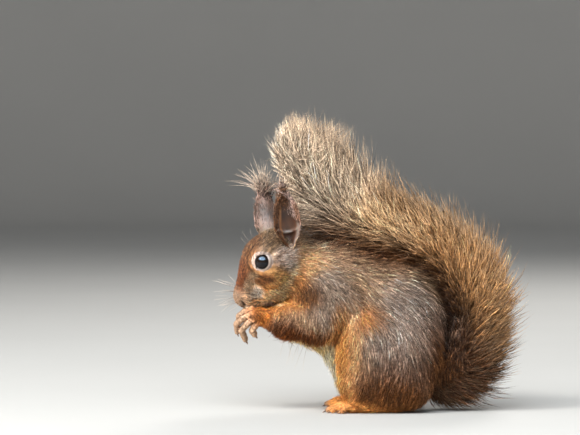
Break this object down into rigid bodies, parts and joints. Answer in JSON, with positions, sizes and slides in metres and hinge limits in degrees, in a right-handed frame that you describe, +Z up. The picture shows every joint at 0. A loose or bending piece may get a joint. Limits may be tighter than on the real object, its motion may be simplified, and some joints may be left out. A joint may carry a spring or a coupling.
{
  "type": "red squirrel",
  "caption": "Still, life-size red squirrel sitting up on its hind feet, both hands raised to its mouth, bushy tail laid up along its back.",
  "frame": {"origin": "on the floor, under the middle of the whole model's box", "axes": "+Z up, nose towards -X, tail towards +X, the animal's left side towards -Y"},
  "size_m": [0.1772, 0.0732, 0.1871],
  "materials": {
    "coat": "short rusty orange-brown fur",
    "flank": "grizzled grey-brown fur",
    "brush": "long golden-brown to cream tail hair",
    "ear": "thin ear with short grey-brown fur and a tuft",
    "paw": "pinkish buff skin with very short fur",
    "eye": "wet, near-black, mirror-like eye"
  },
  "bodies": {
    "root": {"head": "coat", "neck": "coat", "trunk": "flank", "upper_arm_left": "flank", "upper_arm_right": "flank", "forearm_left": "coat", "forearm_right": "coat", "haunch_left": "coat", "haunch_right": "coat", "hand_left": "paw", "hand_right": "paw", "foot_left": "paw", "foot_right": "paw", "ear_left": "ear", "ear_right": "ear", "eye_left": "eye", "eye_right": "eye", "tail_root": "brush", "tail_middle": "brush", "tail_tip": "brush"}
  },
  "joints": []
}
